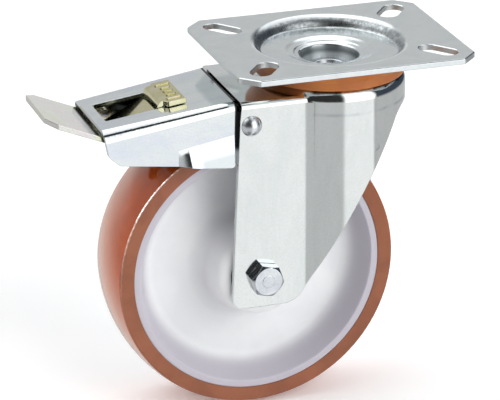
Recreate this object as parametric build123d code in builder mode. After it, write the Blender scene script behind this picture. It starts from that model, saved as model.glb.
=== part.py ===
from build123d import *
import math
import os

os.makedirs("parts", exist_ok=True)

# ---------------------------------------------------------------------------
# Swivel castor, 125 mm wheel, top plate, total brake.  Millimetres.
# Origin: swivel axis on the plate's top plane.  +Z up, +X along the plate's
# long side away from the brake, the wheel trails towards -X.
# ---------------------------------------------------------------------------

# --- top plate
plate_l, plate_w, plate_t = 105.0, 84.0, 2.5
corner_cut = 7.2
slot_x, slot_y, slot_len, slot_w, slot_angle = 38.8, 27.8, 18.0, 9.0, 52.0
dish_r = 36.5

# --- swivel head
kingpin_r = 6.0
race_r = 24.5                      # ball track radius of both rows
ball_r = 2.97
ball_count = 24
upper_ball_z, lower_ball_z = -9.95, -18.5
seal_r = 32.3
disc_r, disc_top, disc_t = 22.5, -24.1, 2.0
notch_count, notch_w, notch_root = 16, 5.0, 17.5

# --- fork
sheet = 2.5
crown_r, crown_top = 32.6, -13.0     # ball groove floor at crown_top
shoulder_r, shoulder_z = 6.0, -17.2 # rounded shoulder around the groove
crown_hole_r = 16.5
leg_y = 26.8                       # outer face of each leg
web_top = -14.7
skirt_z = -25.0

# --- wheel and axle
axle_x, axle_z = -38.2, -94.45
wheel_r, wheel_w = 63.6, 35.0
tread_edge_r = 61.5                # crowned tread, radius at the flanks
core_r = 55.3
hub_y = 23.2                       # front faces of the hub bosses
axle_r = 4.0
hex_af = 13.0

# --- brake
housing_t = 2.0
rivet_x, rivet_z, rivet_r = -44.1, -25.0, 3.0
pivot_x, pivot_z, pivot_r = -95.5, -27.8, 1.75
pedal_t = 2.1
arm_t = 2.3
arm_angle = 4.0                    # arm travel, released to braked
pad_gap = 0.35                     # left between pad and tread when braked

axle_axis = Axis((axle_x, 0, axle_z), (0, 1, 0))
axle_plane = Plane(origin=(axle_x, 0, axle_z), x_dir=(0, 1, 0), z_dir=(1, 0, 0))


def ribbon(points, t):
    """Outline of a bent sheet: the given side of the sheet, then the other side
    at thickness t to the right of the direction of travel, mitred at the bends."""
    n = len(points)
    dirs = []
    for i in range(n - 1):
        dx, dy = points[i + 1][0] - points[i][0], points[i + 1][1] - points[i][1]
        length = math.hypot(dx, dy)
        dirs.append((dx / length, dy / length))
    other = []
    for i in range(n):
        a = dirs[max(i - 1, 0)]
        b = dirs[min(i, n - 2)]
        na, nb = (a[1], -a[0]), (b[1], -b[0])
        mx, my = na[0] + nb[0], na[1] + nb[1]
        k = t / (1 + na[0] * nb[0] + na[1] * nb[1])
        other.append((points[i][0] + mx * k, points[i][1] + my * k))
    return list(points) + other[::-1]


def turned(px, pz, cx, cz, degrees):
    """The point (px, pz) turned about (cx, cz): positive lifts what lies on the +X side."""
    a = math.radians(degrees)
    dx, dz = px - cx, pz - cz
    return cx + dx * math.cos(a) - dz * math.sin(a), cz + dx * math.sin(a) + dz * math.cos(a)


# ---------------------------------------------------------------------------
# swivel head, fixed to the plate
# ---------------------------------------------------------------------------

with BuildPart() as top_plate:
    with BuildSketch(Plane.XY.offset(-plate_t)) as plate_outline:
        Rectangle(plate_l, plate_w)
        chamfer(plate_outline.vertices(), corner_cut)
        Circle(dish_r, mode=Mode.SUBTRACT)
        for sx, sy in ((1, 1), (1, -1), (-1, 1), (-1, -1)):
            with Locations(Location((sx * slot_x, sy * slot_y, 0), (0, 0, sx * sy * slot_angle))):
                SlotOverall(slot_len, slot_w, mode=Mode.SUBTRACT)
    extrude(amount=plate_t)
    # rounded upper arris of the blank and of the slots
    rim = top_plate.faces().sort_by(Axis.Z)[-1].edges().filter_by(
        lambda e: not (e.geom_type == GeomType.CIRCLE and e.radius > 30)
    )
    chamfer(rim, 0.35)
    # pressed dish: race annulus, stepped cone, deep centre cup
    with BuildSketch(Plane.XZ) as dish:
        with BuildLine() as dish_line:
            top = FilletPolyline(
                (dish_r, 0), (32.2, 0), (29.7, -4.7), (19.2, -4.7), (17.6, -5.15),
                (15.4, -5.6), (15.1, -5.95), (12.9, -6.45), (10.9, -13.7), (kingpin_r + 0.05, -13.7),
                radius=[5.5, 1.2, 0.6, 0.3, 0.2, 0.2, 1.0, 0.8],
            )
            bottom = FilletPolyline(
                (kingpin_r + 0.05, -16.2), (13.4, -16.2), (15.3, -9.2), (19.3, -6.9), (31.0, -6.9),
                (33.9, -2.5), (dish_r, -2.5),
                radius=[2.0, 1.2, 1.0, 2.0, 0.6],
            )
            Line(top @ 1, bottom @ 0)
            Line(bottom @ 1, top @ 0)
        make_face()
    revolve(axis=Axis.Z)
top_plate.part.label = "top_plate"
export_step(top_plate.part, "parts/top_plate.step")

with BuildPart() as kingpin:
    with BuildSketch(Plane.XZ):
        with BuildLine() as pin_line:
            pin = FilletPolyline(
                (0, -12.9), (5.9, -12.9), (6.5, -11.3), (10.3, -11.3), (10.3, -13.7),
                (kingpin_r, -13.7), (kingpin_r, -26.1), (9.4, -26.1), (9.4, -28.9), (0, -28.9),
                radius=[0.4, 0.5, 0.9, 0.0, 0.0, 0.0, 0.0, 1.6],
            )
            Line(pin @ 1, pin @ 0)
        make_face()
    revolve(axis=Axis.Z)
kingpin.part.label = "kingpin"
export_step(kingpin.part, "parts/kingpin.step")

with BuildPart() as lower_race_cup:
    with BuildSketch(Plane.XZ):
        with BuildLine() as cup_line:
            cup_top = FilletPolyline(
                (kingpin_r + 0.05, -16.2), (15.6, -16.2), (20.4, -21.5), (28.0, -21.5), (28.9, -18.9),
                radius=[2.5, 2.2, 1.6],
            )
            cup_under = FilletPolyline(
                (kingpin_r + 0.05, -18.2), (14.7, -18.2), (19.5, -23.5), (29.4, -23.5), (30.8 - 1.6, -19.4),
                radius=[2.0, 2.0, 2.2],
            )
            Line(cup_top @ 0, cup_under @ 0)
            Line(cup_top @ 1, cup_under @ 1)
        make_face()
    revolve(axis=Axis.Z)
lower_race_cup.part.label = "lower_race_cup"
export_step(lower_race_cup.part, "parts/lower_race_cup.step")

with BuildPart() as swivel_lock_disc:
    with BuildSketch(Plane.XY.offset(disc_top - disc_t)) as disc_face:
        Circle(disc_r)
        Circle(kingpin_r + 0.05, mode=Mode.SUBTRACT)
        with PolarLocations(0, notch_count):
            with Locations((notch_root + 5.0, 0)):
                Rectangle(10.0, notch_w, mode=Mode.SUBTRACT)
    extrude(amount=disc_t)
    with BuildSketch(Plane.XY.offset(disc_top)):
        Circle(13.2)
        Circle(kingpin_r + 0.05, mode=Mode.SUBTRACT)
    extrude(amount=-18.2 - disc_top)
swivel_lock_disc.part.label = "swivel_lock_disc"
export_step(swivel_lock_disc.part, "parts/swivel_lock_disc.step")

# ---------------------------------------------------------------------------
# swivel head, turning with the fork
# ---------------------------------------------------------------------------

# flat landing at the top of the shoulder, where the seal sits
landing_z = shoulder_z + math.sqrt(shoulder_r ** 2 - (28.3 - (crown_r - shoulder_r)) ** 2)

with BuildPart() as dust_seal:
    with BuildSketch(Plane.XZ):
        Polygon(
            (31.9, -7.3), (34.8, -2.95), (36.0, -2.95), (32.8, -7.9), (seal_r, -8.7), (seal_r, -12.2),
            (30.6, -12.2), (30.25, -11.05), (28.45, -11.05), (28.3, landing_z), (27.9, landing_z), (27.9, -7.3),
            align=None,
        )
    revolve(axis=Axis.Z)
dust_seal.part.label = "dust_seal"
export_step(dust_seal.part, "parts/dust_seal.step")

with BuildPart() as upper_balls:
    with Locations((0, 0, upper_ball_z)):
        with PolarLocations(race_r, ball_count):
            Sphere(ball_r)
upper_balls.part.label = "upper_balls"
export_step(upper_balls.part, "parts/upper_balls.step")

with BuildPart() as lower_balls:
    with Locations((0, 0, lower_ball_z)):
        with PolarLocations(race_r, ball_count, start_angle=7.5):
            Sphere(ball_r)
lower_balls.part.label = "lower_balls"
export_step(lower_balls.part, "parts/lower_balls.step")

# ---------------------------------------------------------------------------
# fork: one pressed sheet, round crown with shoulder, two flat legs
# ---------------------------------------------------------------------------

fork_outline = [
    (-48.3, -8), (-48.5, -16.0), (-49.1, -22.0), (-52.7, -107.7), (-23.7, -107.7), (23.6, skirt_z),
    (40, skirt_z), (40, -8),
]
fork_corners = [0, 20.0, 20.0, 4.5, 10.0, 9.0, 0, 0]

# broad blend between each flat leg and the round crown wall
blend_r = 10.0
blend_x = -math.sqrt((crown_r + blend_r) ** 2 - (leg_y + blend_r) ** 2)
blend_end = math.atan2(leg_y + blend_r, -blend_x)
blend_mid = (math.pi / 2 + blend_end) / 2
blend_out = blend_end + math.radians(1.0)

with BuildPart() as leg_blend:
    for side in (1, -1):
        with BuildSketch(Plane.XY.offset(-112)):
            with BuildLine():
                p1 = (blend_x - 0.6, side * (leg_y - 0.03))
                p2 = (blend_x + blend_r * math.cos(blend_mid), side * (leg_y + blend_r - blend_r * math.sin(blend_mid)))
                p3 = (-(crown_r - 0.03) * math.cos(blend_out), side * (crown_r - 0.03) * math.sin(blend_out))
                p4 = (-(crown_r - 1.2) * math.cos(blend_out), side * (crown_r - 1.2) * math.sin(blend_out))
                p5 = (blend_x - 0.6, side * (leg_y - 1.2))
                ThreePointArc(p1, p2, p3)
                Polyline(p3, p4, p5, p1)
            make_face()
        extrude(amount=112 - 17.3)
    with BuildSketch(Plane.XZ):
        with BuildLine():
            FilletPolyline(fork_outline, radius=fork_corners, close=True)
        make_face()
    extrude(amount=45, both=True, mode=Mode.INTERSECT)

with BuildPart() as fork:
    # outside of the pressing
    with BuildSketch(Plane.XZ):
        with BuildLine():
            groove = Polyline((0, -113), (0, crown_top), (26.75, crown_top), (27.7, landing_z), (28.3, landing_z))
            shoulder = ThreePointArc(
                (28.3, landing_z),
                (crown_r - shoulder_r * (1 - math.cos(math.radians(37))), shoulder_z + shoulder_r * math.sin(math.radians(37))),
                (crown_r, shoulder_z),
            )
            Polyline((crown_r, shoulder_z), (crown_r, -113), (0, -113))
        make_face()
    revolve(axis=Axis.Z)
    with BuildSketch(Plane.YZ.offset(-60)) as saddle:
        with BuildLine():
            FilletPolyline(
                (-leg_y, -113), (-leg_y, web_top), (leg_y, web_top), (leg_y, -113),
                radius=[0, 2.6, 2.6, 0], close=True,
            )
        make_face()
    extrude(amount=45)
    # inside of the pressing
    with BuildSketch(Plane.XZ):
        with BuildLine():
            inner_arc_r = shoulder_r - sheet
            Polyline((0, -123), (0, crown_top - sheet), (25.4, crown_top - sheet), (26.8, shoulder_z + inner_arc_r - 0.01))
            ThreePointArc(
                (26.8, shoulder_z + inner_arc_r - 0.01),
                (crown_r - shoulder_r + inner_arc_r * math.cos(math.radians(43)), shoulder_z + inner_arc_r * math.sin(math.radians(43))),
                (crown_r - sheet, shoulder_z),
            )
            Polyline((crown_r - sheet, shoulder_z), (crown_r - sheet, -123), (0, -123))
        make_face()
    revolve(axis=Axis.Z, mode=Mode.SUBTRACT)
    with BuildSketch(Plane.YZ.offset(-62)):
        with BuildLine():
            FilletPolyline(
                (-leg_y + sheet, -115), (-leg_y + sheet, web_top - sheet), (leg_y - sheet, web_top - sheet),
                (leg_y - sheet, -115),
                radius=[0, 0.6, 0.6, 0], close=True,
            )
        make_face()
    extrude(amount=46, mode=Mode.SUBTRACT)
    # side outline: rear edge, foot, slanted front edge, front skirt
    with BuildSketch(Plane.XZ) as side_view:
        with BuildLine():
            FilletPolyline(fork_outline, radius=fork_corners, close=True)
        make_face()
    extrude(amount=45, both=True, mode=Mode.INTERSECT)
    # crown hole, axle hole, rivet hole
    with BuildSketch(Plane.XY.offset(crown_top + 1)):
        Circle(crown_hole_r)
    extrude(amount=-8, mode=Mode.SUBTRACT)
    with BuildSketch(Plane.XZ.offset(-40)):
        with Locations((axle_x, axle_z)):
            Circle(axle_r + 0.15)
        with Locations((rivet_x, rivet_z)):
            Circle(rivet_r + 0.05)
    extrude(amount=80, mode=Mode.SUBTRACT)
    # soft crease between flat leg and round crown wall
    crease = fork.edges().filter_by(
        lambda e: e.geom_type == GeomType.LINE
        and abs(abs(e.center().Y) - leg_y) < 0.02
        and abs(e.center().X + math.sqrt(crown_r ** 2 - leg_y ** 2)) < 0.1
        and e.length > 15
    )
    print("fork crease edges", len(crease))
    fillet(crease, 5.0)
    add(leg_blend.part)
fork.part.label = "fork"
export_step(fork.part, "parts/fork.step")

# ---------------------------------------------------------------------------
# brake housing: folded channel with window, embossed flanks and inner ears
# ---------------------------------------------------------------------------


def housing_half(x):
    return 24.87 + (x + 50.0) * (24.87 - 23.1) / 57.0


def housing_bend(x):
    return 3.3 - (x + 50.0) * 1.6 / 57.0


def housing_top(x):
    return -14.65 + 0.132 * (x + 50.0)


crease_slope, wedge_h = 0.187, 3.3

with BuildPart() as brake_housing:
    for x in (-50.0, -107.0):
        with BuildSketch(Plane.YZ.offset(x)):
            with BuildLine():
                w, z = housing_half(x), housing_top(x)
                r = housing_bend(x)
                FilletPolyline((-w, -60), (-w, z), (w, z), (w, -60), radius=[0, r, r, 0], close=True)
            make_face()
    loft()
    # wedge pressed outward on each flank beside the tread: nothing at its upper
    # crease, deepest at the lower edge, with a ramp at its rear end
    for side in (1, -1):
        out = Vector(-(24.87 - 23.1), side * 57.0, 0).normalized()
        along = Vector(57.0, side * (24.87 - 23.1), 0).normalized()
        crease_dir = (along + Vector(0, 0, crease_slope)).normalized()
        down = out.cross(crease_dir) * side
        start = Vector(-62.0, side * housing_half(-62.0), -30.9)
        for depth, left, knee, height in ((0.0, -13.7, -9.2, 0.03), (18.0, -16.7, -10.0, wedge_h)):
            with BuildSketch(Plane(origin=start + down * depth, x_dir=crease_dir, z_dir=down)) as cut:
                k = 1 if cut.workplanes[0].y_dir.dot(out) > 0 else -1
                Polygon((left, -k), (left, 0), (knee, k * height), (13.5, k * height), (13.5, -k), align=None)
        loft(ruled=True)
    for x in (-49.0, -108.0):
        with BuildSketch(Plane.YZ.offset(x)):
            with BuildLine():
                w, z = housing_half(x) - housing_t, housing_top(x) - housing_t
                r = housing_bend(x) - housing_t
                FilletPolyline((-w, -61), (-w, z), (w, z), (w, -61), radius=[0, r, r, 0], close=True)
            make_face()
    loft(mode=Mode.SUBTRACT)
    for side in (1, -1):
        out = Vector(-(24.87 - 23.1), side * 57.0, 0).normalized()
        along = Vector(57.0, side * (24.87 - 23.1), 0).normalized()
        crease_dir = (along + Vector(0, 0, crease_slope)).normalized()
        down = out.cross(crease_dir) * side
        start = Vector(-62.0, side * housing_half(-62.0), -30.9) - out * housing_t
        for depth, left, knee, height in ((0.0, -13.4, -8.9, 0.03), (18.0, -16.4, -9.7, wedge_h)):
            with BuildSketch(Plane(origin=start + down * depth, x_dir=crease_dir, z_dir=down)) as cut:
                k = 1 if cut.workplanes[0].y_dir.dot(out) > 0 else -1
                Polygon((left, -k), (left, 0), (knee, k * height), (14.0, k * height), (14.0, -k), align=None)
        loft(ruled=True, mode=Mode.SUBTRACT)
    # side outline
    with BuildSketch(Plane.XZ):
        with BuildLine():
            FilletPolyline(
                (-107.0, -5), (-107.0, -24.5), (-105.3, -33.2), (-100.5, -37.4), (-96.0, -37.9),
                (-75.2, -40.3), (-66.7, -41.6), (-51.5, -42.7), (-50.8, -20.5), (-49.2, -15.5), (-49.2, -5),
                radius=[0, 3.0, 4.5, 3.0, 8.0, 8.0, 8.0, 1.4, 2.0, 1.0, 0], close=True,
            )
        make_face()
    extrude(amount=45, both=True, mode=Mode.INTERSECT)
    # front edge of the top, slightly hollow in plan
    with BuildSketch(Plane.XY.offset(-19.0)):
        with Locations((-50.25 + 211.7, 0)):
            Circle(211.7)
    extrude(amount=10, mode=Mode.SUBTRACT)
    # window for the release key
    with BuildSketch(Plane.XY):
        with Locations((-89.95, 0)):
            RectangleRounded(25.9, 21.0, 1.0)
    extrude(amount=-27, mode=Mode.SUBTRACT)
    # ears inside the fork legs, held by the cross rivet
    for side in (1, -1):
        with BuildSketch(Plane.XY.offset(-31.0)):
            with BuildLine():
                FilletPolyline(
                    (-66.0, side * 23.4), (-54.0, side * 24.15), (-38.5, side * 24.15), (-38.5, side * 22.6),
                    (-54.0, side * 22.6), (-66.0, side * 22.0),
                    radius=[0, 2.0, 0, 0, 2.0, 0], close=True,
                )
            make_face()
        extrude(amount=12.3)
        with BuildSketch(Plane.XY.offset(-41.8)):
            with Locations((-46.5, side * 23.375)):
                Rectangle(16.0, 1.55)
        extrude(amount=11.0)
    with BuildSketch(Plane.XZ.offset(-30)):
        with Locations((rivet_x, rivet_z)):
            Circle(rivet_r + 0.03)
    extrude(amount=60, mode=Mode.SUBTRACT)
brake_housing.part.label = "brake_housing"
export_step(brake_housing.part, "parts/brake_housing.step")

# cross rivet with domed heads
dome_r, dome_h = 4.6, 2.9
dome_sphere = (dome_r ** 2 + dome_h ** 2) / (2 * dome_h)
with BuildPart() as cross_rivet:
    for side in (1, -1):
        head_plane = Plane(origin=(rivet_x, side * leg_y, rivet_z), x_dir=(1, 0, 0), z_dir=(0, side, 0))
        with BuildSketch(head_plane):
            Circle(dome_r)
        extrude(amount=dome_h)
    far_ball = Pos(rivet_x, leg_y + dome_h - dome_sphere, rivet_z) * Sphere(dome_sphere, mode=Mode.PRIVATE)
    near_ball = Pos(rivet_x, -(leg_y + dome_h - dome_sphere), rivet_z) * Sphere(dome_sphere, mode=Mode.PRIVATE)
    add([far_ball, near_ball], mode=Mode.INTERSECT)
    with BuildSketch(Plane(origin=(rivet_x, -leg_y, rivet_z), x_dir=(1, 0, 0), z_dir=(0, 1, 0))):
        Circle(rivet_r)
    extrude(amount=2 * leg_y)
cross_rivet.part.label = "cross_rivet"
export_step(cross_rivet.part, "parts/cross_rivet.step")

# stub pivots welded inside the housing's side walls
with BuildPart() as pedal_pivots:
    for side in (1, -1):
        stub_plane = Plane(origin=(pivot_x, side * 15.4, pivot_z), x_dir=(1, 0, 0), z_dir=(0, side, 0))
        with BuildSketch(stub_plane):
            Circle(pivot_r)
        extrude(amount=housing_half(pivot_x) - housing_t - 15.4 - 0.05)
pedal_pivots.part.label = "pedal_pivots"
export_step(pedal_pivots.part, "parts/pedal_pivots.step")

# torsion spring on the cross rivet, which lifts the brake arm off the tread
spring_r, spring_wire, spring_pitch, spring_turns = 3.52, 0.4, 1.15, 5
with BuildPart() as return_spring:
    spring_y0 = 8.0
    coil_plane = Plane(origin=(rivet_x, spring_y0, rivet_z), x_dir=(0, 0, 1), z_dir=(0, 1, 0))
    coil = Helix(pitch=spring_pitch, height=spring_pitch * spring_turns, radius=spring_r)
    coil = coil_plane.location * coil
    with BuildSketch(Plane(origin=coil @ 0, z_dir=coil % 0)):
        Circle(spring_wire)
    sweep(path=coil)
    # straight legs
    for end in (0, 1):
        tangent = (coil % end) * (-1 if end == 0 else 1)
        start = coil @ end
        with BuildSketch(Plane(origin=start, z_dir=tangent)):
            Circle(spring_wire)
        extrude(amount=4.2)
return_spring.part.label = "return_spring"
export_step(return_spring.part, "parts/return_spring.step")

# ---------------------------------------------------------------------------
# brake pedal with release key: one folded sheet that rocks on the stub pivots
# ---------------------------------------------------------------------------

pedal_path = [(-130.5, -15.4), (-98.0, -28.85), (-80.7, -20.25), (-79.7, -16.0), (-68.3, -14.58)]

with BuildPart() as brake_pedal:
    # side view of the whole sheet, as wide as its widest part
    with BuildSketch(Plane.XZ.offset(-20)):
        with BuildLine():
            FilletPolyline(
                ribbon(pedal_path, pedal_t),
                radius=[0.4, 2.2, 1.2, 2.4, 0.4, 0.4, 0.4, 3.2, 4.2, 0.4], close=True,
            )
        make_face()
    extrude(amount=40)
    # plan view of the developed widths
    with BuildSketch(Plane.XY.offset(-50)):
        with BuildLine():
            FilletPolyline(
                (-130.5, -14.6), (-125.6, -19.0), (-98.9, -19.0), (-98.9, -10.0), (-77.3, -10.0), (-76.0, -12.2),
                (-67.5, -12.2), (-67.5, 12.2), (-76.0, 12.2), (-77.3, 10.0), (-98.9, 10.0), (-98.9, 19.0),
                (-125.6, 19.0), (-130.5, 14.6),
                radius=[0.8, 0.8, 0.5, 0.8, 0.6, 0.6, 0.8, 0.8, 0.6, 0.6, 0.8, 0.5, 0.8, 0.8], close=True,
            )
        make_face()
    extrude(amount=50, mode=Mode.INTERSECT)
    # ears folded up beside the pivots
    for side in (1, -1):
        with BuildSketch(Plane(origin=(0, side * 19.0, 0), x_dir=(1, 0, 0), z_dir=(0, -side, 0))) as ear:
            s = ear.workplanes[0].y_dir.Z
            with BuildLine():
                FilletPolyline(
                    (-105.6, -25.9 * s), (-103.6, -24.6 * s), (-92.6, -24.6 * s), (-91.6, -28.0 * s),
                    (-93.6, -31.2 * s), (-99.2, -31.2 * s), (-105.0, -28.8 * s),
                    radius=[0, 1.0, 2.0, 2.6, 2.0, 0.6, 0], close=True,
                )
            make_face()
            with Locations((pivot_x, pivot_z * s)):
                Circle(pivot_r + 0.06, mode=Mode.SUBTRACT)
        extrude(amount=pedal_t)
    # pressed grip ribs on the key
    key_rise = (-14.58 + 16.0) / 11.4
    rib_plane = Plane(origin=(-72.9, 0, -16.0 + key_rise * 6.8), x_dir=(1, 0, key_rise), z_dir=(-key_rise, 0, 1))
    with BuildSketch(rib_plane.offset(-0.3)):
        for i, length in enumerate((7.0, 4.6, 4.6, 4.6, 7.0)):
            with Locations((0.3, -8.4 + 4.2 * i)):
                SlotOverall(length, 1.5)
    extrude(amount=0.8)
brake_pedal.part.label = "brake_pedal"
export_step(brake_pedal.part, "parts/brake_pedal.step")

# ---------------------------------------------------------------------------
# brake arm with pad: swings on the cross rivet, tooth locks the swivel
# ---------------------------------------------------------------------------

arm_path = [
    (-18.6, -26.6), (-33.6, -26.6), (-38.8, -17.9), (-51.2, -17.9), (-58.8, -29.7), (-93.0, -32.57), (-98.6, -31.75),
    (-103.4, -29.7),
]
arm_outline = ribbon([(x, z) for x, z in arm_path][::-1], arm_t)

with BuildPart() as brake_arm:
    with BuildSketch(Plane.XZ.offset(-20)):
        with BuildLine():
            FilletPolyline(
                arm_outline,
                radius=[0.3, 1.0, 4.0, 2.2, 2.4, 3.6, 1.4, 0.3, 0.3, 3.7, 1.3, 0.6, 4.4, 6.2, 3.2, 0.3], close=True,
            )
        make_face()
    extrude(amount=40)
    with BuildSketch(Plane.XY.offset(-50)):
        with BuildLine():
            FilletPolyline(
                (-107.0, -4.5), (-93.0, -4.5), (-90.0, -8.0), (-84.0, -8.0), (-80.0, -15.0), (-58.0, -15.0),
                (-53.0, -22.0), (-38.0, -22.0), (-34.2, -5.0), (-24.6, -5.0), (-23.8, -2.0), (-18.0, -2.0),
                (-18.0, 2.0), (-23.8, 2.0), (-24.6, 5.0), (-34.2, 5.0), (-38.0, 22.0), (-53.0, 22.0), (-58.0, 15.0),
                (-80.0, 15.0), (-84.0, 8.0), (-90.0, 8.0), (-93.0, 4.5), (-107.0, 4.5),
                radius=[1, 1, 1, 1.5, 2, 2, 1, 0.5, 1.5, 1, 0.3, 0.8, 0.8, 0.3, 1, 1.5, 0.5, 1, 2, 2, 1.5, 1, 1, 1],
                close=True,
            )
        make_face()
    extrude(amount=50, mode=Mode.INTERSECT)
    # ears down to the rivet
    for side in (1, -1):
        with BuildSketch(Plane(origin=(0, side * 22.0, 0), x_dir=(1, 0, 0), z_dir=(0, -side, 0))) as ear:
            s = ear.workplanes[0].y_dir.Z
            with BuildLine():
                FilletPolyline(
                    (-50.9, -19.0 * s), (-40.2, -19.0 * s), (-39.8, -26.8 * s), (-42.2, -28.7 * s),
                    (-47.6, -28.7 * s), (-50.9, -25.3 * s),
                    radius=[0, 0, 1.6, 1.6, 2.5, 2.5], close=True,
                )
            make_face()
            with Locations((rivet_x, rivet_z * s)):
                Circle(rivet_r + 0.06, mode=Mode.SUBTRACT)
        extrude(amount=arm_t)
    # slot that lets the spring's fixed leg reach the fork
    with BuildSketch(Plane.XY.offset(-24)):
        with Locations((-41.8, 13.8)):
            Rectangle(5.6, 3.4)
    extrude(amount=8, mode=Mode.SUBTRACT)
brake_arm.part.label = "brake_arm"
export_step(brake_arm.part, "parts/brake_arm.step")

# under side of the arm's web between the two bends, where the pad sits
web_a, web_b = (-58.8, -29.7), (-93.0, -32.57)
web_slope = (web_b[1] - web_a[1]) / (web_b[0] - web_a[0])
web_drop = arm_t * math.hypot(1, web_slope)


def web_under(x):
    return web_a[1] + web_slope * (x - web_a[0]) - web_drop


pad_cx, pad_cz = turned(axle_x, axle_z, rivet_x, rivet_z, -arm_angle)
with BuildPart() as brake_pad:
    with BuildSketch(Plane.XZ.offset(-13)):
        Polygon((-64.2, web_under(-64.2)), (-79.4, web_under(-79.4)), (-79.4, -47), (-64.2, -40), align=None)
        with Locations((pad_cx, pad_cz)):
            Circle(wheel_r + pad_gap, mode=Mode.SUBTRACT)
    extrude(amount=26)
brake_pad.part.label = "brake_pad"
export_step(brake_pad.part, "parts/brake_pad.step")

# ---------------------------------------------------------------------------
# axle
# ---------------------------------------------------------------------------

hex_turn = -11.0                   # one corner of the hexagons from +X


near = Plane(origin=(axle_x, -leg_y, axle_z), x_dir=(1, 0, 0), z_dir=(0, -1, 0))
far = Plane(origin=(axle_x, leg_y, axle_z), x_dir=(1, 0, 0), z_dir=(0, 1, 0))

head_h, head_face = 5.3, 0.4       # head height, round washer face under it
with BuildPart() as axle_bolt:
    with BuildSketch(near.offset(head_face)):
        RegularPolygon(hex_af / 2, 6, major_radius=False, rotation=hex_turn * near.y_dir.Z)
    extrude(amount=head_h - head_face)
    with BuildSketch(near):
        Circle(hex_af / 2 - 0.3)
    extrude(amount=head_face)
    # chamfer of the head, faint raised disc on its face
    y_face = -(leg_y + head_h)
    with BuildSketch(axle_plane):
        Polygon((y_face - 5, 5.9), (y_face - 5, 20), (y_face + 1.5, 20), (y_face + 1.5, 7.9), (y_face, 6.1), align=None)
    revolve(axis=axle_axis, mode=Mode.SUBTRACT)
    with BuildSketch(near.offset(head_h)):
        Circle(2.75)
    extrude(amount=0.15)
    with BuildSketch(near):
        Circle(axle_r)
    extrude(amount=-(2 * leg_y + 10.2))
    chamfer(axle_bolt.faces().sort_by(Axis.Y)[-1].edges(), 0.7)
axle_bolt.part.label = "axle_bolt"
export_step(axle_bolt.part, "parts/axle_bolt.step")

with BuildPart() as axle_nut:
    with BuildSketch(far):
        RegularPolygon(hex_af / 2, 6, major_radius=False, rotation=hex_turn * far.y_dir.Z)
    extrude(amount=6.2)
    with BuildSketch(far.offset(6.2)):
        Circle(6.1)
    extrude(amount=1.8)
    chamfer(axle_nut.faces().sort_by(Axis.Y)[-1].edges(), 0.8)
    with BuildSketch(axle_plane):
        Polygon((leg_y + 4.3, 7.9), (leg_y + 6.4, 6.0), (leg_y + 6.4, 20), (leg_y + 4.3, 20), align=None)
        Polygon((leg_y - 0.1, 6.4), (leg_y - 0.1, 20), (leg_y + 0.9, 20), (leg_y + 0.9, 7.9), align=None)
    revolve(axis=axle_axis, mode=Mode.SUBTRACT)
    with BuildSketch(far.offset(-1)):
        Circle(axle_r + 0.05)
    extrude(amount=20, mode=Mode.SUBTRACT)
axle_nut.part.label = "axle_nut"
export_step(axle_nut.part, "parts/axle_nut.step")

inner_y = leg_y - sheet            # inner face of each leg


sleeve_r = 6.0
with BuildPart() as axle_sleeve:
    with BuildSketch(far.offset(-leg_y - inner_y)):
        Circle(sleeve_r)
        Circle(axle_r + 0.1, mode=Mode.SUBTRACT)
    extrude(amount=2 * inner_y)
axle_sleeve.part.label = "axle_sleeve"
export_step(axle_sleeve.part, "parts/axle_sleeve.step")

bearing_in, bearing_out = 15.0, 23.0     # ball bearing 12 x 28 x 8 at each end of the hub
bearing_mid = (bearing_in + bearing_out) / 2

with BuildPart() as spacer_washers:
    for y0 in (-inner_y, bearing_out):
        with BuildSketch(far.offset(y0 - leg_y)):
            Circle(8.6)
            Circle(sleeve_r + 0.05, mode=Mode.SUBTRACT)
        extrude(amount=inner_y - bearing_out)
spacer_washers.part.label = "spacer_washers"
export_step(spacer_washers.part, "parts/spacer_washers.step")

with BuildPart() as bearing_inner_rings:
    for y0 in (-bearing_out, bearing_in):
        with BuildSketch(far.offset(y0 - leg_y)):
            Circle(8.6)
            Circle(sleeve_r + 0.01, mode=Mode.SUBTRACT)
        extrude(amount=bearing_out - bearing_in)
    with BuildSketch(axle_plane):
        with Locations((bearing_mid, 10.0), (-bearing_mid, 10.0)):
            Circle(2.45)
    revolve(axis=axle_axis, mode=Mode.SUBTRACT)
bearing_inner_rings.part.label = "bearing_inner_rings"
export_step(bearing_inner_rings.part, "parts/bearing_inner_rings.step")

with BuildPart() as bearing_outer_rings:
    for y0 in (-bearing_out, bearing_in):
        with BuildSketch(far.offset(y0 - leg_y)):
            Circle(14.0)
            Circle(11.5, mode=Mode.SUBTRACT)
        extrude(amount=bearing_out - bearing_in)
    with BuildSketch(axle_plane):
        with Locations((bearing_mid, 10.0), (-bearing_mid, 10.0)):
            Circle(2.42)
    revolve(axis=axle_axis, mode=Mode.SUBTRACT)
bearing_outer_rings.part.label = "bearing_outer_rings"
export_step(bearing_outer_rings.part, "parts/bearing_outer_rings.step")

with BuildPart() as bearing_balls:
    for y in (bearing_mid, -bearing_mid):
        for i in range(9):
            a = math.radians(40 * i)
            with Locations((axle_x + 10.0 * math.cos(a), y, axle_z + 10.0 * math.sin(a))):
                Sphere(2.38)
bearing_balls.part.label = "bearing_balls"
export_step(bearing_balls.part, "parts/bearing_balls.step")

with BuildPart() as bearing_seals:
    for y0 in (-bearing_out + 0.2, bearing_out - 0.9, -bearing_in - 0.9, bearing_in + 0.2):
        with BuildSketch(far.offset(y0 - leg_y)):
            Circle(11.45)
            Circle(8.75, mode=Mode.SUBTRACT)
        extrude(amount=0.7)
bearing_seals.part.label = "bearing_seals"
export_step(bearing_seals.part, "parts/bearing_seals.step")

# ---------------------------------------------------------------------------
# wheel: moulded centre and bonded tyre
# ---------------------------------------------------------------------------

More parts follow.
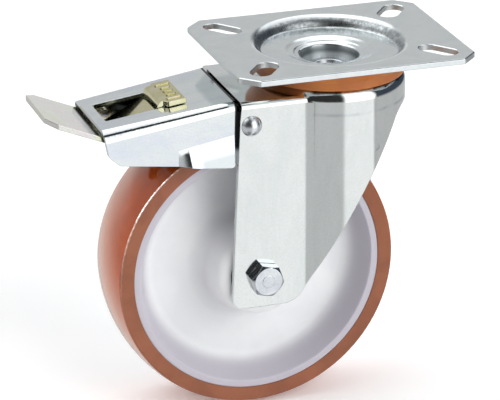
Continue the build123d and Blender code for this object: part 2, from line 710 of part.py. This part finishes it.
with BuildPart() as wheel_centre:
    with BuildSketch(axle_plane):
        with BuildLine():
            half = [
                (17.2, core_r), (17.2, 52.2), (16.2, 51.7), (10.0, 49.4), (4.1, 47.0), (4.4, 22.2),
                (hub_y, 18.6), (hub_y, 14.0), (bearing_in, 14.0), (bearing_in, 12.2),
            ]
            radii = [0.3, 0.5, 0.6, 8.0, 6.5, 7.0, 4.4, 0.0, 0.0, 0.0]
            outline = half + [(-y, r) for y, r in half[::-1]]
            FilletPolyline(outline, radius=radii + radii[::-1], close=True)
        make_face()
    revolve(axis=axle_axis)
wheel_centre.part.label = "wheel_centre"
export_step(wheel_centre.part, "parts/wheel_centre.step")

with BuildPart() as tyre:
    with BuildSketch(axle_plane) as tread:
        with BuildLine():
            half_w = wheel_w / 2
            Polyline((half_w, tread_edge_r), (half_w, core_r), (-half_w, core_r), (-half_w, tread_edge_r))
            ThreePointArc((half_w, tread_edge_r), (0, wheel_r), (-half_w, tread_edge_r))
        make_face()
        fillet(tread.vertices().group_by(Axis.Y)[-1], 1.0)
    revolve(axis=axle_axis)
tyre.part.label = "tyre"
export_step(tyre.part, "parts/tyre.step")
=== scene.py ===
import bpy, math
from mathutils import Matrix, Vector


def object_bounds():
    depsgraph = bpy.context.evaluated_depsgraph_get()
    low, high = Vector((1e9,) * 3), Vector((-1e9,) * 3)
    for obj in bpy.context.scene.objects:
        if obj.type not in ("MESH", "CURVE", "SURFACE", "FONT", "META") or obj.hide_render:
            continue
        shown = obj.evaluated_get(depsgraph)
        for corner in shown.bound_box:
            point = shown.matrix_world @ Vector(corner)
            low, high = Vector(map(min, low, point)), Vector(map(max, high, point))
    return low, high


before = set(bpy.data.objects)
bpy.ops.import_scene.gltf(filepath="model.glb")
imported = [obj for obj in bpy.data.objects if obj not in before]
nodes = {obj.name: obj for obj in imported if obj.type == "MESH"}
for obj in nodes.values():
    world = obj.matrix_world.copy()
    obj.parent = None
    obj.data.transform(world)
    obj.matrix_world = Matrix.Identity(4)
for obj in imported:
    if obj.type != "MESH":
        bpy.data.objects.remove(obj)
CAD_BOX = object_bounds()
scene = bpy.context.scene
scene.view_settings.view_transform = "Standard"
scene.view_settings.look = "None"


# ---------------------------------------------------------------- camera
# the castor is seen from its brake side, a little from above, with a long lens
F_PX, AZ, EL, ROLL = 3095.99, math.radians(18.8312), math.radians(21.7055), math.radians(0.0612)
DIST, CX, CY = 1.350603, 0.0336231 + 0.00022, -0.0054474 - 0.00022
back = Vector((-math.sin(AZ) * math.cos(EL), -math.cos(AZ) * math.cos(EL), math.sin(EL)))
right = Vector((math.cos(AZ), -math.sin(AZ), 0))
up = back.cross(right) * 1.0
right2 = math.cos(ROLL) * right + math.sin(ROLL) * up
up2 = -math.sin(ROLL) * right + math.cos(ROLL) * up
cam_data = bpy.data.cameras.new("camera")
cam = bpy.data.objects.new("camera", cam_data)
scene.collection.objects.link(cam)
cam_data.sensor_fit = "HORIZONTAL"
cam_data.sensor_width = 36.0
cam_data.lens = 36.0 * F_PX / 500.0
cam_data.clip_start, cam_data.clip_end = 0.05, 60
pos = Vector((0, 0, -0.080)) - CX * right2 - CY * up2 + DIST * back
cam.matrix_world = Matrix((
    (right2.x, up2.x, back.x, pos.x),
    (right2.y, up2.y, back.y, pos.y),
    (right2.z, up2.z, back.z, pos.z),
    (0, 0, 0, 1)))
scene.camera = cam


# ---------------------------------------------------------------- node helpers
def lin(r, g, b):
    """8-bit sRGB to the linear colour the shaders use."""
    out = []
    for v in (r, g, b):
        v /= 255.0
        out.append(v / 12.92 if v <= 0.04045 else ((v + 0.055) / 1.055) ** 2.4)
    return (*out, 1.0)


class Tree:
    def __init__(self, tree):
        self.t = tree

    def new(self, kind, **values):
        n = self.t.nodes.new(kind)
        for k, v in values.items():
            setattr(n, k, v)
        return n

    def link(self, a, b):
        self.t.links.new(a, b)

    def put(self, socket, value):
        if isinstance(value, bpy.types.NodeSocket):
            self.link(value, socket)
        else:
            socket.default_value = value

    def math(self, op, a, b=None, c=None, clamp=False):
        n = self.new("ShaderNodeMath", operation=op, use_clamp=clamp)
        for s, v in zip(n.inputs, (a, b, c)):
            if v is not None:
                self.put(s, v)
        return n.outputs[0]

    def step(self, x, lo, hi, a=0.0, b=1.0):
        n = self.new("ShaderNodeMapRange", interpolation_type="SMOOTHSTEP")
        self.put(n.inputs["Value"], x)
        n.inputs["From Min"].default_value, n.inputs["From Max"].default_value = lo, hi
        self.put(n.inputs["To Min"], a)
        self.put(n.inputs["To Max"], b)
        return n.outputs["Result"]

    def ramp(self, x, stops):
        n = self.new("ShaderNodeValToRGB")
        e = n.color_ramp.elements
        while len(e) < len(stops):
            e.new(0.5)
        for el, (p, c) in zip(e, stops):
            el.position = p
            el.color = c if len(c) == 4 else (*c, 1)
        self.put(n.inputs[0], x)
        return n.outputs[0]

    def mix(self, f, a, b, mode="MIX"):
        n = self.new("ShaderNodeMix", data_type="RGBA", blend_type=mode)
        self.put(n.inputs[0], f)
        self.put(n.inputs[6], a)
        self.put(n.inputs[7], b)
        return n.outputs[2]

    def noise(self, where, scale, detail=2.0, rough=0.5, distort=0.0, squeeze=None):
        if squeeze is not None:
            m = self.new("ShaderNodeMapping")
            self.put(m.inputs["Vector"], where)
            m.inputs["Scale"].default_value = squeeze
            where = m.outputs[0]
        n = self.new("ShaderNodeTexNoise")
        self.put(n.inputs["Vector"], where)
        n.inputs["Scale"].default_value = scale
        n.inputs["Detail"].default_value = detail
        n.inputs["Roughness"].default_value = rough
        n.inputs["Distortion"].default_value = distort
        return n.outputs["Fac"]

    def bump(self, height, distance, strength=1.0, under=None):
        n = self.new("ShaderNodeBump")
        n.inputs["Strength"].default_value = strength
        n.inputs["Distance"].default_value = distance
        self.put(n.inputs["Height"], height)
        if under is not None:
            self.put(n.inputs["Normal"], under)
        return n.outputs[0]


def material(name):
    m = bpy.data.materials.new(name)
    m.use_nodes = True
    t = Tree(m.node_tree)
    m.node_tree.nodes.clear()
    out = t.new("ShaderNodeOutputMaterial")
    p = t.new("ShaderNodeBsdfPrincipled")
    t.link(p.outputs[0], out.inputs[0])
    place = t.new("ShaderNodeTexCoord").outputs["Object"]
    return m, t, p, place


def rounded(t, radius, samples=6):
    n = t.new("ShaderNodeBevel")
    n.samples = samples
    n.inputs["Radius"].default_value = radius
    return n.outputs[0]


def edge_mask(t, bevel, lo=0.03, hi=0.25):
    """1 on a part's edges, 0 on its faces: how far the rounded normal leans from the true one."""
    g = t.new("ShaderNodeNewGeometry").outputs["True Normal"]
    d = t.new("ShaderNodeVectorMath", operation="DOT_PRODUCT")
    t.link(bevel, d.inputs[0])
    t.link(g, d.inputs[1])
    return t.step(t.math("SUBTRACT", 1.0, d.outputs["Value"]), lo, hi)


# ---------------------------------------------------------------- materials
def zinc(name, light=(232, 236, 240), dark=(204, 210, 218), rough=0.24, speck=1.0, wave=1.0,
         squeeze=None, edge=0.00035, tint=None, spread=0.05, shade=None, draw=None, dish=False, wedge=False, crown=False):
    """Bright zinc plating on steel: fine crystalline speckle, cloudy patches, soft hollows in the sheet, brighter rubbed edges."""
    m, t, p, place = material(name)
    cloud = t.noise(place, 75, 5, 0.62, 0.6, squeeze)
    fine = t.noise(place, 1700, 3, 0.65)
    colour = t.mix(t.step(cloud, 0.34, 0.66), lin(*dark), lin(*light))
    if tint is not None:
        wide = t.noise(place, 38, 3, 0.55, 1.2, squeeze)
        colour = t.mix(t.step(wide, 0.45, 0.68, 0.0, 0.55), colour, lin(*tint))
    colour = t.mix(t.step(fine, 0.42, 0.62, 0.0, 0.10), colour, lin(*(int(v * 0.80) for v in dark)))
    b = rounded(t, edge)
    e = edge_mask(t, b)
    colour = t.mix(t.math("MULTIPLY", e, 0.35), colour, lin(244, 246, 248))
    t.put(p.inputs["Base Color"], colour)
    p.inputs["Metallic"].default_value = 1.0
    if shade is not None:
        # painted shade: the ears between the fork legs are painted nearly black, for the deep shadow in the gap there
        sep = t.new("ShaderNodeSeparateXYZ")
        t.link(place, sep.inputs[0])
        colour = t.mix(t.step(sep.outputs["X"], shade, shade + 0.0006), colour, lin(34, 36, 38))
        # painted shade: the channel under the housing top is painted dark olive grey, for the shade within it
        away = t.math("ADD", sep.outputs["X"], 0.050)
        half = t.math("ADD", t.math("MULTIPLY", away, 0.03105), 0.02487)
        depth_y = t.math("SUBTRACT", half, t.math("ABSOLUTE", sep.outputs["Y"]))
        top_z = t.math("SUBTRACT", t.math("MULTIPLY", away, 0.132), 0.01465)
        depth_z = t.math("SUBTRACT", top_z, sep.outputs["Z"])
        channel_shade = t.step(t.math("MINIMUM", depth_y, depth_z), 0.0012, 0.0018)
        colour = t.mix(channel_shade, colour, lin(74, 78, 72))
        t.put(p.inputs["Base Color"], colour)
    if draw is not None:
        # the faint line the drawing die left round the crown, and a few scuffs below it
        sep = t.new("ShaderNodeSeparateXYZ")
        t.link(place, sep.inputs[0])
        height = t.math("ADD", sep.outputs["Z"], t.math("MULTIPLY", t.math("SUBTRACT", t.noise(place, 60, 2), 0.5), 0.0012))
        line = t.step(t.math("ABSOLUTE", t.math("SUBTRACT", height, draw)), 0.0002, 0.0011, 1.0, 0.0)
        line = t.math("MULTIPLY", line, t.step(sep.outputs["X"], -0.0180, -0.0165))
        line = t.math("MULTIPLY", line, t.step(t.noise(place, 120, 3), 0.35, 0.6, 0.05, 0.28))
        scuff = t.math("MULTIPLY", t.step(t.noise(place, 150, 3, 0.5, 0.8), 0.66, 0.76), t.step(sep.outputs["X"], 0.004, 0.012, 0.0, 0.6))
        colour = t.mix(t.math("MAXIMUM", line, scuff), colour, lin(120, 126, 130))
        t.put(p.inputs["Base Color"], colour)
    r = t.step(t.noise(place, 210, 4, 0.6, 0.3, squeeze), 0.3, 0.7, rough - spread, rough + spread)
    if dish:
        # the stretched wall of the dish and the deep cup are dull and speckled, and so are the punched faces; the wall
        # and the bottom of the cup also get painted shade
        sep = t.new("ShaderNodeSeparateXYZ")
        t.link(place, sep.inputs[0])
        x2 = t.math("MULTIPLY", sep.outputs["X"], sep.outputs["X"])
        y2 = t.math("MULTIPLY", sep.outputs["Y"], sep.outputs["Y"])
        radius = t.math("SQRT", t.math("ADD", x2, y2))
        wall = t.math("MULTIPLY", t.step(radius, 0.0288, 0.0300), t.step(radius, 0.0318, 0.0330, 1.0, 0.0))
        wall = t.math("MULTIPLY", wall, t.step(t.noise(place, 520, 4, 0.75), 0.36, 0.62, 0.45, 1.0))
        cup = t.step(radius, 0.0122, 0.0132, 1.0, 0.0)
        band = t.math("MULTIPLY", cup, t.step(sep.outputs["Z"], -0.0108, -0.0088))
        flat = t.new("ShaderNodeSeparateXYZ")
        t.link(t.new("ShaderNodeNewGeometry").outputs["True Normal"], flat.inputs[0])
        cut = t.math("MULTIPLY", t.step(t.math("ABSOLUTE", flat.outputs["Z"]), 0.1, 0.3, 1.0, 0.0), t.step(radius, 0.034, 0.035))
        cut = t.math("MULTIPLY", cut, t.step(t.math("ABSOLUTE", sep.outputs["X"]), 0.0512, 0.0520, 1.0, 0.0))
        cut = t.math("MULTIPLY", cut, t.step(t.math("ABSOLUTE", sep.outputs["Y"]), 0.0408, 0.0416, 1.0, 0.0))
        # painted shade: the dish wall is painted darker, for the dark reflection it shows
        colour = t.mix(t.math("MULTIPLY", wall, 0.85), colour, lin(128, 134, 136))
        # painted shade: the bottom of the deep cup is painted darker, for the shade within it
        colour = t.mix(t.math("MULTIPLY", band, 0.75), colour, lin(96, 104, 104))
        colour = t.mix(t.math("MULTIPLY", cut, 0.5), colour, lin(206, 206, 204))
        t.put(p.inputs["Base Color"], colour)
        dull = t.math("MAXIMUM", t.math("MULTIPLY", wall, 0.22), t.math("MULTIPLY", cup, 0.28))
        r = t.math("ADD", r, t.math("MAXIMUM", dull, t.math("MULTIPLY", cut, 0.32)))
    if wedge:
        # painted shade: the lower part of the wedge pressed into each flank is painted greyer, for the dark slope of
        # its ramp
        sep = t.new("ShaderNodeSeparateXYZ")
        t.link(place, sep.inputs[0])
        line = t.math("ADD", t.math("MULTIPLY", sep.outputs["X"], 0.171), -0.0266)
        wedge_ramp_shade = t.step(t.math("SUBTRACT", line, sep.outputs["Z"]), -0.0008, 0.0022)
        wedge_ramp_shade = t.math("MULTIPLY", wedge_ramp_shade, t.step(sep.outputs["X"], -0.0672, -0.0640))
        colour = t.mix(wedge_ramp_shade, colour, lin(196, 202, 204))
        t.put(p.inputs["Base Color"], colour)
    if crown:
        # painted shade: a dark band round the shoulder just under the seal, for the shadow and dark reflection of the
        # plate above, left out on a strip in the middle where the shoulder shows bright
        sep = t.new("ShaderNodeSeparateXYZ")
        t.link(place, sep.inputs[0])
        off = t.math("ABSOLUTE", t.math("SUBTRACT", sep.outputs["X"], 0.0015))
        rough_z = t.math("ADD", sep.outputs["Z"], t.math("MULTIPLY", t.math("SUBTRACT", t.noise(place, 260, 3, 0.7), 0.5), 0.0022))
        shoulder_shade = t.math("MULTIPLY", t.step(rough_z, -0.0142, -0.0136), t.step(off, 0.0066, 0.0078))
        shoulder_shade = t.math("MULTIPLY", shoulder_shade, t.step(sep.outputs["X"], -0.0185, -0.0165))
        shoulder_shade = t.math("MULTIPLY", shoulder_shade, t.step(t.noise(place, 700, 3, 0.7), 0.30, 0.60, 1.0, 0.72))
        colour = t.mix(shoulder_shade, colour, lin(52, 58, 66))
        t.put(p.inputs["Base Color"], colour)
    # coarse crystals that scatter a little light into the dark reflections
    grain = t.step(t.noise(place, 1500, 1, 0.5), 0.62, 0.72, 0.0, 0.07 * speck)
    r = t.math("ADD", r, grain)
    t.put(p.inputs["Roughness"], r)
    n = t.bump(t.noise(place, 30, 2, 0.5, 0.4, squeeze), 0.00003 * wave, 1.0, b)
    n = t.bump(fine, 0.000006 * speck, 1.0, n)
    n = t.bump(t.noise(place, 430, 2, 0.5), 0.000008 * speck, 1.0, n)
    t.put(p.inputs["Normal"], n)
    return m


def yellow_zinc(name):
    """Yellow-passivated steel: silvery with pink and yellow interference on the pedal, olive on the tab, yellower at its edges."""
    m, t, p, place = material(name)
    sep = t.new("ShaderNodeSeparateXYZ")
    t.link(place, sep.inputs[0])
    cloud = t.noise(place, 95, 4, 0.6, 0.9)
    wide = t.noise(place, 42, 3, 0.5, 1.0)
    fine = t.noise(place, 1700, 3, 0.65)
    silver = t.ramp(wide, [(0.30, lin(232, 230, 206)), (0.45, lin(230, 236, 226)), (0.58, lin(236, 228, 230)), (0.72, lin(222, 236, 224))])
    olive = t.ramp(cloud, [(0.30, lin(206, 200, 154)), (0.50, lin(216, 211, 174)), (0.68, lin(226, 217, 196))])
    tab = t.step(sep.outputs["X"], -0.1000, -0.0950)
    colour = t.mix(tab, silver, olive)
    b = rounded(t, 0.00035)
    e = edge_mask(t, b)
    colour = t.mix(t.math("MULTIPLY", e, 0.45), colour, lin(228, 216, 160))
    colour = t.mix(t.step(fine, 0.42, 0.62, 0.0, 0.14), colour, lin(150, 140, 100))
    t.put(p.inputs["Base Color"], colour)
    p.inputs["Metallic"].default_value = 1.0
    t.put(p.inputs["Roughness"], t.step(t.noise(place, 230, 4, 0.6), 0.3, 0.7, 0.11, 0.17))
    n = t.bump(t.noise(place, 34, 2, 0.5), 0.00010, 1.0, b)
    n = t.bump(fine, 0.000006, 1.0, n)
    t.put(p.inputs["Normal"], n)
    return m


def steel(name, light=(214, 212, 208), dark=(168, 166, 162), rough=0.2, turned=None):
    """Bare ground steel with fine machining marks and a little oil darkening."""
    m, t, p, place = material(name)
    cloud = t.noise(place, 260, 4, 0.6, 0.4)
    marks = t.noise(place, 900, 3, 0.6, 0.0, turned or (1, 1, 6))
    t.put(p.inputs["Base Color"], t.mix(t.step(cloud, 0.35, 0.65), lin(*dark), lin(*light)))
    p.inputs["Metallic"].default_value = 1.0
    t.put(p.inputs["Roughness"], t.step(marks, 0.3, 0.7, rough - 0.04, rough + 0.1))
    t.put(p.inputs["Normal"], t.bump(marks, 0.00001, 1.0, rounded(t, 0.0002)))
    return m


def plastic(name, light, dark, rough=(0.35, 0.5), scale=60, grain=900, grain_depth=0.00001, subsurface=0.0,
            radius=(0.01, 0.006, 0.004), edge=0.0003, coat=0.0, ior=1.5, wave=0.0, rim=None):
    m, t, p, place = material(name)
    cloud = t.noise(place, scale, 4, 0.55, 0.5)
    fine = t.noise(place, grain, 3, 0.6)
    colour = t.mix(t.step(cloud, 0.33, 0.67), lin(*dark), lin(*light))
    if rim is not None:
        # the thin rim is duller and a little violet against the thick disc
        sep = t.new("ShaderNodeSeparateXYZ")
        t.link(place, sep.inputs[0])
        dx = t.math("ADD", sep.outputs["X"], 0.0382)
        dz = t.math("ADD", sep.outputs["Z"], 0.09445)
        r = t.math("SQRT", t.math("ADD", t.math("MULTIPLY", dx, dx), t.math("MULTIPLY", dz, dz)))
        colour = t.mix(t.step(r, 0.0440, 0.0500), colour, lin(*rim))
    t.put(p.inputs["Base Color"], colour)
    p.inputs["Subsurface Weight"].default_value = subsurface
    p.inputs["Subsurface Radius"].default_value = radius
    p.inputs["Subsurface Scale"].default_value = 0.35
    p.inputs["Coat Weight"].default_value = coat
    p.inputs["Coat Roughness"].default_value = 0.08
    p.inputs["IOR"].default_value = ior
    t.put(p.inputs["Roughness"], t.step(t.noise(place, scale * 3.1, 4, 0.6), 0.3, 0.7, *rough))
    n = rounded(t, edge)
    if wave:
        n = t.bump(t.noise(place, 40, 2, 0.5), wave, 1.0, n)
    t.put(p.inputs["Normal"], t.bump(fine, grain_depth, 1.0, n))
    return m


def tyre_rubber(name):
    """Reddish-brown cast polyurethane: a polished tread, satin turned side faces with faint turning rings."""
    m, t, p, place = material(name)
    sep = t.new("ShaderNodeSeparateXYZ")
    t.link(place, sep.inputs[0])
    y = t.math("ABSOLUTE", sep.outputs["Y"])
    dx = t.math("ADD", sep.outputs["X"], 0.0382)
    dz = t.math("ADD", sep.outputs["Z"], 0.09445)
    r = t.math("SQRT", t.math("ADD", t.math("MULTIPLY", dx, dx), t.math("MULTIPLY", dz, dz)))
    side = t.step(y, 0.01672, 0.01738)
    cloud = t.noise(place, 55, 4, 0.55, 0.6)
    tread_c = t.mix(t.step(cloud, 0.35, 0.65), lin(158, 68, 22), lin(170, 76, 28))
    # painted reflection: the tread is painted paler toward its outline, for the grazing reflection of the pale backdrop
    painted_sheen = t.new("ShaderNodeLayerWeight")
    painted_sheen.inputs["Blend"].default_value = 0.5
    tread_c = t.mix(t.step(painted_sheen.outputs["Facing"], 0.46, 0.95, 0.0, 0.75), tread_c, lin(226, 194, 176))
    side_c = t.mix(t.step(cloud, 0.35, 0.65), lin(126, 69, 39), lin(139, 79, 48))
    t.put(p.inputs["Base Color"], t.mix(side, tread_c, side_c))
    rings = t.new("ShaderNodeTexNoise")
    rings.noise_dimensions = "1D"
    t.put(rings.inputs["W"], t.math("MULTIPLY", r, 1.0))
    rings.inputs["Scale"].default_value = 2600
    rings.inputs["Detail"].default_value = 3
    rough_side = t.step(rings.outputs["Fac"], 0.3, 0.7, 0.40, 0.54)
    rough_tread = t.step(t.noise(place, 160, 4, 0.6), 0.3, 0.7, 0.09, 0.17)
    t.put(p.inputs["Roughness"], t.math("ADD", t.math("MULTIPLY", rough_side, side), t.math("MULTIPLY", rough_tread, t.math("SUBTRACT", 1.0, side))))
    p.inputs["Subsurface Weight"].default_value = 0.12
    p.inputs["Subsurface Radius"].default_value = (0.01, 0.004, 0.002)
    p.inputs["Subsurface Scale"].default_value = 0.3
    p.inputs["IOR"].default_value = 1.5
    t.put(p.inputs["Coat Weight"], t.math("MULTIPLY", t.math("SUBTRACT", 1.0, side), 0.25))
    p.inputs["Coat Roughness"].default_value = 0.05
    n = t.bump(t.noise(place, 36, 2, 0.5), 0.00005, 1.0)
    n = t.bump(t.math("MULTIPLY", rings.outputs["Fac"], side), 0.000012, 1.0, n)
    n = t.bump(t.noise(place, 1100, 3, 0.6), 0.000004, 1.0, n)
    t.put(p.inputs["Normal"], n)
    return m


M = {
    "plate": zinc("zinc_plate_top", (231, 236, 237), (224, 230, 232), 0.15, 1.0, 0.6, dish=True),
    "fork": zinc("zinc_fork", (236, 239, 238), (229, 234, 233), 0.10, 0.8, 0.6, squeeze=(1.5, 1.5, 0.55), spread=0.02, draw=-0.0229, crown=True),
    "housing": zinc("zinc_housing", (238, 243, 243), (230, 237, 238), 0.10, 0.9, 0.5, squeeze=(0.6, 1.6, 1.6), tint=(224, 228, 246), spread=0.02, shade=-0.0512, wedge=True),
    "fastener": zinc("zinc_fastener", (232, 236, 240), (212, 217, 224), 0.15, 0.8, 0.3, edge=0.0003, spread=0.03),
    "rivet": zinc("zinc_rivet", (236, 240, 243), (222, 227, 233), 0.30, 0.8, 0.3, edge=0.0003, spread=0.03),
    "inner": zinc("zinc_inner", (224, 228, 232), (196, 202, 210), 0.26, 1.0, 0.5),
    "arm": zinc("zinc_arm", (212, 214, 214), (176, 180, 184), 0.30, 1.0, 0.8),
    "yellow": yellow_zinc("yellow_zinc"),
    "steel": steel("ground_steel"),
    "ball": steel("ball_steel", (226, 226, 226), (206, 206, 206), 0.08),
    "spring": steel("spring_steel", (150, 148, 146), (104, 102, 100), 0.26),
    "seal": plastic("seal_orange", (184, 112, 50), (172, 98, 42), (0.34, 0.46), subsurface=0.25, wave=0.00004),
    "white": plastic("wheel_white", (229, 230, 231), (223, 224, 226), (0.34, 0.46), scale=40, subsurface=0.25,
                     radius=(0.012, 0.011, 0.012), wave=0.00006, rim=(186, 182, 191)),
    "black": plastic("black_plastic", (40, 40, 42), (28, 28, 30), (0.4, 0.55)),
    "pad": plastic("pad_rubber", (52, 50, 48), (36, 35, 34), (0.6, 0.75), grain_depth=0.00004),
    "tyre": tyre_rubber("tyre_urethane"),
}

LOOK = {
    "top_plate": "plate", "kingpin": "inner", "lower_race_cup": "inner", "swivel_lock_disc": "arm",
    "fork": "fork", "dust_seal": "seal", "upper_balls": "ball", "lower_balls": "ball",
    "brake_housing": "housing", "cross_rivet": "rivet", "pedal_pivots": "fastener", "return_spring": "spring",
    "axle_bolt": "fastener", "axle_nut": "fastener", "axle_sleeve": "steel",
    "spacer_washers": "steel", "bearing_inner_rings": "steel",
    "tyre": "tyre", "wheel_centre": "white", "bearing_outer_rings": "steel", "bearing_balls": "ball", "bearing_seals": "black",
    "brake_pedal": "yellow", "brake_arm": "arm", "brake_pad": "pad",
}
for node, look in LOOK.items():
    o = nodes[node]
    o.data.materials.clear()
    o.data.materials.append(M[look])


# ---------------------------------------------------------------- floor and light
low = CAD_BOX[0].z
FLOOR = [(-4.0, -1.15), (4.0, -1.15), (4.0, 7.0), (-4.0, 7.0)]
fm = bpy.data.meshes.new("floor")
fm.from_pydata([(x, y, low) for x, y in FLOOR], [], [(0, 1, 2, 3)])
floor = bpy.data.objects.new("floor", fm)
scene.collection.objects.link(floor)
m, t, p, place = material("floor_paper")
cloud = t.noise(place, 9, 3, 0.5)
t.put(p.inputs["Base Color"], t.mix(cloud, lin(250, 250, 250), lin(253, 253, 253)))
p.inputs["Emission Color"].default_value = (1, 1, 1, 1)
p.inputs["Emission Strength"].default_value = 0.12
p.inputs["Roughness"].default_value = 0.85
p.inputs["Specular IOR Level"].default_value = 0.2
fm.materials.append(m)
floor.visible_glossy = False     # the metal mirrors the tent below instead of the bare sheet

# a studio tent: soft boxes placed by direction, with darker gaps between them
world = bpy.data.worlds.new("studio")
scene.world = world
world.use_nodes = True
world.node_tree.nodes.clear()
w = Tree(world.node_tree)
d = w.new("ShaderNodeTexCoord").outputs["Generated"]
s = w.new("ShaderNodeSeparateXYZ")
w.link(d, s.inputs[0])
az = w.math("MULTIPLY", w.math("ARCTAN2", s.outputs["Y"], s.outputs["X"]), 180 / math.pi)
el = w.math("MULTIPLY", w.math("ARCSINE", s.outputs["Z"]), 180 / math.pi)


def box(az0, az1, el0, el1, soft_a=8.0, soft_e=6.0):
    """A soft-edged window of light between two azimuths and two elevations, in degrees."""
    mid, half = (az0 + az1) / 2, (az1 - az0) / 2
    # the difference of azimuth, wrapped to -180..180
    diff = w.math("SUBTRACT", az, mid)
    diff = w.math("ABSOLUTE", w.math("WRAP", diff, 180.0, -180.0))
    a = w.step(diff, half - soft_a, half + soft_a, 1.0, 0.0)
    e = w.math("MULTIPLY", w.step(el, el0 - soft_e, el0 + soft_e), w.step(el, el1 - soft_e, el1 + soft_e, 1.0, 0.0))
    return w.math("MULTIPLY", a, e)


LIGHTS = [  # azimuth from, to, elevation from, to, strength, softness in azimuth, in elevation
    (54, 140, -100, -2, 0.55, 10, 3),      # pale backdrop: sheet on the table
    (54, 140, -2, 9, 0.74, 10, 3),         # its horizon
    (54, 140, 9, 90, 0.57, 10, 4),         # the hanging sheet
    (-87, -38, -17, 47, 1.50, 3, 2),       # key soft box, front right
    (-87, -38, -100, -17, 0.95, 3, 2),     # the bright table in front of it
    (-158, -87, -56, -12, 0.54, 3, 4),     # the table towards the camera
    (-38, 54, -56, -12, 0.50, 6, 4),       # the table on the right
    (140, 202, 8, 62, 0.60, 8, 5),         # fill, left
    (140, 202, -100, -2, 0.60, 8, 6),      # the table on the left
]
# overhead silk: a band over the object, from high at the back to a little in front of the zenith
psi = w.math("MULTIPLY", w.math("ARCTAN2", s.outputs["Z"], s.outputs["Y"]), 180 / math.pi)
silk = w.math("MULTIPLY", w.step(psi, 36, 44), w.step(psi, 105, 111, 1.0, 0.0))
silk = w.math("MULTIPLY", silk, w.step(w.math("ABSOLUTE", s.outputs["X"]), 0.72, 0.86, 1.0, 0.0))
total = w.math("MULTIPLY", silk, 1.05)
for a0, a1, e0, e1, power, sa, se in LIGHTS:
    total = w.math("ADD", total, w.math("MULTIPLY", box(a0, a1, e0, e1, sa, se), power))
total = w.math("ADD", total, 0.03)
# the dim side of the room on the right is bluish
cool = box(-34, 52, -10, 60, 6, 4)
bg = w.new("ShaderNodeBackground")
bg.inputs["Color"].default_value = (0.99, 0.995, 1.0, 1)
w.link(total, bg.inputs["Strength"])
dim = w.new("ShaderNodeBackground")
dim.inputs["Color"].default_value = (0.30, 0.60, 1.0, 1)
w.link(w.math("MULTIPLY", cool, 0.05), dim.inputs["Strength"])
both = w.new("ShaderNodeAddShader")
w.link(bg.outputs[0], both.inputs[0])
w.link(dim.outputs[0], both.inputs[1])
plain = w.new("ShaderNodeBackground")
plain.inputs["Color"].default_value = (1, 1, 1, 1)
plain.inputs["Strength"].default_value = 1.0
choose = w.new("ShaderNodeMixShader")
w.link(w.new("ShaderNodeLightPath").outputs["Is Camera Ray"], choose.inputs[0])
w.link(both.outputs[0], choose.inputs[1])
w.link(plain.outputs[0], choose.inputs[2])
out = w.new("ShaderNodeOutputWorld")
w.link(choose.outputs[0], out.inputs[0])


def soft_light(name, azimuth, elevation, distance, size, power, tall=None):
    """A large soft box aimed at the castor. The plating mirrors only the tent."""
    d = bpy.data.lights.new(name, "AREA")
    d.shape = "RECTANGLE"
    d.size, d.size_y = size, tall or size
    d.energy = power
    o = bpy.data.objects.new(name, d)
    scene.collection.objects.link(o)
    a, e = math.radians(azimuth), math.radians(elevation)
    way = Vector((math.cos(a) * math.cos(e), math.sin(a) * math.cos(e), math.sin(e)))
    o.location = Vector((-0.03, 0, -0.09)) + way * distance
    o.rotation_euler = way.to_track_quat("Z", "Y").to_euler()
    o.visible_glossy = False
    o.visible_camera = False
    return o


soft_light("soft_front", -58, 30, 2.2, 2.0, 28.0)
soft_light("soft_left", -150, 42, 2.4, 1.6, 5.0)
# a fill from the left and a tall strip light, both flagged off everything but the tyre
fill = soft_light("tyre_fill", -150, 30, 2.4, 1.6, 20.0)
glint = soft_light("tyre_glint", -154, 10, 1.1, 0.22, 60.0, 0.75)
glint.visible_glossy, glint.visible_diffuse = True, False
only_tyre = bpy.data.collections.new("lit_by_glint")
only_tyre.objects.link(nodes["tyre"])
glint.light_linking.receiver_collection = only_tyre
fill.light_linking.receiver_collection = only_tyre
